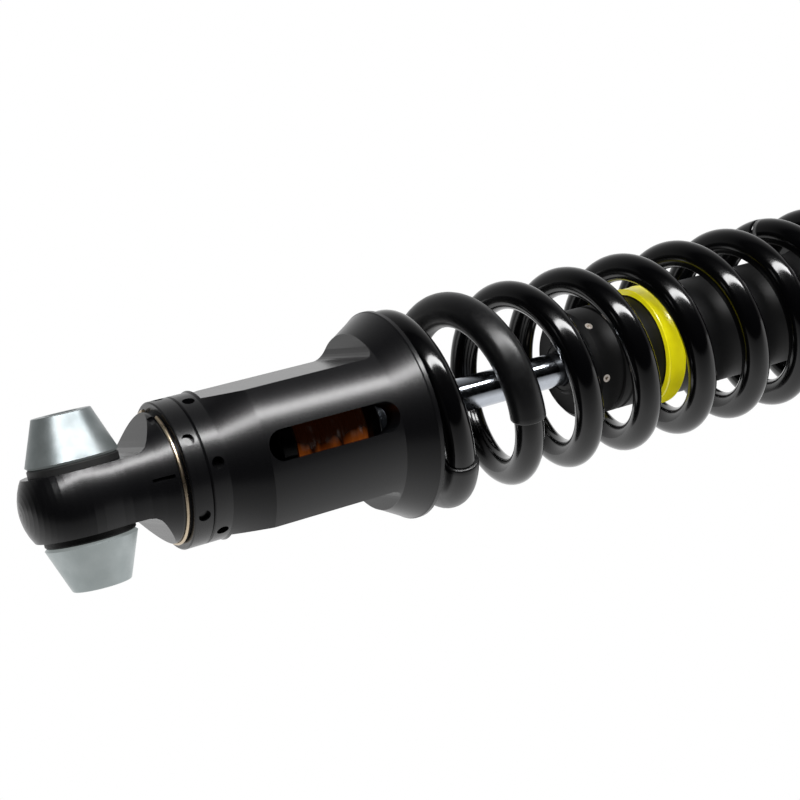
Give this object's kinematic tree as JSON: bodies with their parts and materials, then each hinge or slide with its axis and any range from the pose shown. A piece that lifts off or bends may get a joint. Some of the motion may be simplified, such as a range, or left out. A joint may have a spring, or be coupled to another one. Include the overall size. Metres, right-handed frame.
{
  "type": "rear shock absorber",
  "caption": "Coil-over rear shock absorber with a slotted spring seat housing, a gas damper, a rebound adjuster ring and spherical bearing eyes with tapered spacers.",
  "frame": {"origin": "centre of the lower eye, on its bolt axis", "axes": "+X along the shock from the lower eye to the upper eye; +Z along both eye bolts; +Y completes a right-handed frame"},
  "size_m": [0.5025, 0.0836, 0.0836],
  "materials": {
    "black_anodised": "satin black anodised",
    "satin_black": "satin black hard anodised",
    "bearing_steel": "ground",
    "steel": "bright",
    "rubber": "matte",
    "zinc_plate": "zinc plated, satin",
    "gold_wire": "passivated gold, bright",
    "amber_urethane": "translucent amber",
    "chrome_rod": "polished",
    "bronze": "plain",
    "yellow_plastic": "gloss",
    "bare_aluminium": "machined",
    "brass_valve": "machined",
    "black_plastic": "matte",
    "spring_paint": "gloss black powder coat",
    "sleeve_plastic": "matte shrink sleeve"
  },
  "bodies": {
    "lower_unit": {"lower_mount": "black_anodised", "lower_bearing_race": "bearing_steel", "lower_circlips": "steel", "lower_seals": "rubber", "wire_snap_ring": "gold_wire", "spring_seat_housing": "black_anodised", "jam_nut": "steel", "bump_stop_seat": "black_anodised", "bump_stop": "amber_urethane", "bump_stop_cup": "black_plastic", "piston_rod": "chrome_rod", "top_out_bumper": "rubber", "compression_shims": "steel", "piston": "bare_aluminium", "piston_band": "bronze", "rebound_shims": "steel", "piston_nut": "steel", "detent_ball": "bearing_steel", "detent_spring": "steel", "coil_spring": "spring_paint", "lower_sleeve": "sleeve_plastic"},
    "rebound_ring_body": {"rebound_ring": "black_anodised"},
    "needle_body": {"adjuster_cross_pin": "steel", "rebound_needle": "steel"},
    "lower_swivel": {"lower_swivel_ball": "bearing_steel", "lower_spacer_top": "zinc_plate", "lower_spacer_bottom": "zinc_plate"},
    "damper_body": {"cylinder_head": "black_anodised", "head_screws": "steel", "rod_wiper": "rubber", "rod_bushing": "bronze", "rod_seal": "rubber", "head_o_ring": "rubber", "accent_ring": "yellow_plastic", "damper_tube": "satin_black", "cap_o_ring": "rubber", "upper_mount": "black_anodised", "gas_valve": "brass_valve", "valve_cap": "black_plastic", "upper_bearing_race": "bearing_steel", "upper_circlips": "steel", "upper_seals": "rubber"},
    "gas_piston": {"floating_piston": "bare_aluminium", "floating_piston_ring": "rubber"},
    "preload_seat": {"upper_spring_seat": "black_anodised", "thrust_washer": "bronze"},
    "collar_body": {"preload_collar": "black_anodised", "collar_clamp_screw": "steel"},
    "upper_swivel": {"upper_swivel_ball": "bearing_steel", "upper_spacers": "zinc_plate"}
  },
  "joints": [
    {"name": "damper_stroke", "type": "slide", "parent": "lower_unit", "child": "damper_body", "axis": [-1, 0, 0], "range_m": [0, 0.092], "deforming": ["coil_spring", "lower_sleeve"]},
    {"name": "gas_piston_slide", "type": "slide", "parent": "damper_body", "child": "gas_piston", "axis": [1, 0, 0], "range_m": [0, 0.0113]},
    {"name": "preload_slide", "type": "slide", "parent": "damper_body", "child": "preload_seat", "axis": [-1, 0, 0], "range_m": [0, 0.008], "deforming": ["coil_spring", "lower_sleeve"]},
    {"name": "collar_turn", "type": "hinge", "parent": "preload_seat", "child": "collar_body", "pos_m": [0.3738, 0, 0], "axis": [-1, 0, 0], "range_deg": [0, 1440]},
    {"name": "rebound_click", "type": "hinge", "parent": "lower_unit", "child": "rebound_ring_body", "pos_m": [0.0353, 0, 0], "axis": [1, 0, 0], "range_deg": [0, 300]},
    {"name": "needle_slide", "type": "slide", "parent": "lower_unit", "child": "needle_body", "axis": [1, 0, 0], "range_m": [0, 0.002]},
    {"name": "lower_pivot", "type": "hinge", "parent": "lower_unit", "child": "lower_swivel", "pos_m": [0, 0, 0], "axis": [0, 0, 1], "continuous": true},
    {"name": "upper_pivot", "type": "hinge", "parent": "damper_body", "child": "upper_swivel", "pos_m": [0.46, 0, 0], "axis": [0, 0, 1], "continuous": true}
  ],
  "couplings": [
    {"joint": "gas_piston_slide", "follows": "damper_stroke", "ratio": 0.1225},
    {"joint": "collar_turn", "follows": "preload_slide", "rad_per_m": 3141.6},
    {"joint": "needle_slide", "follows": "rebound_click", "m_per_rad": 0.00038}
  ]
}
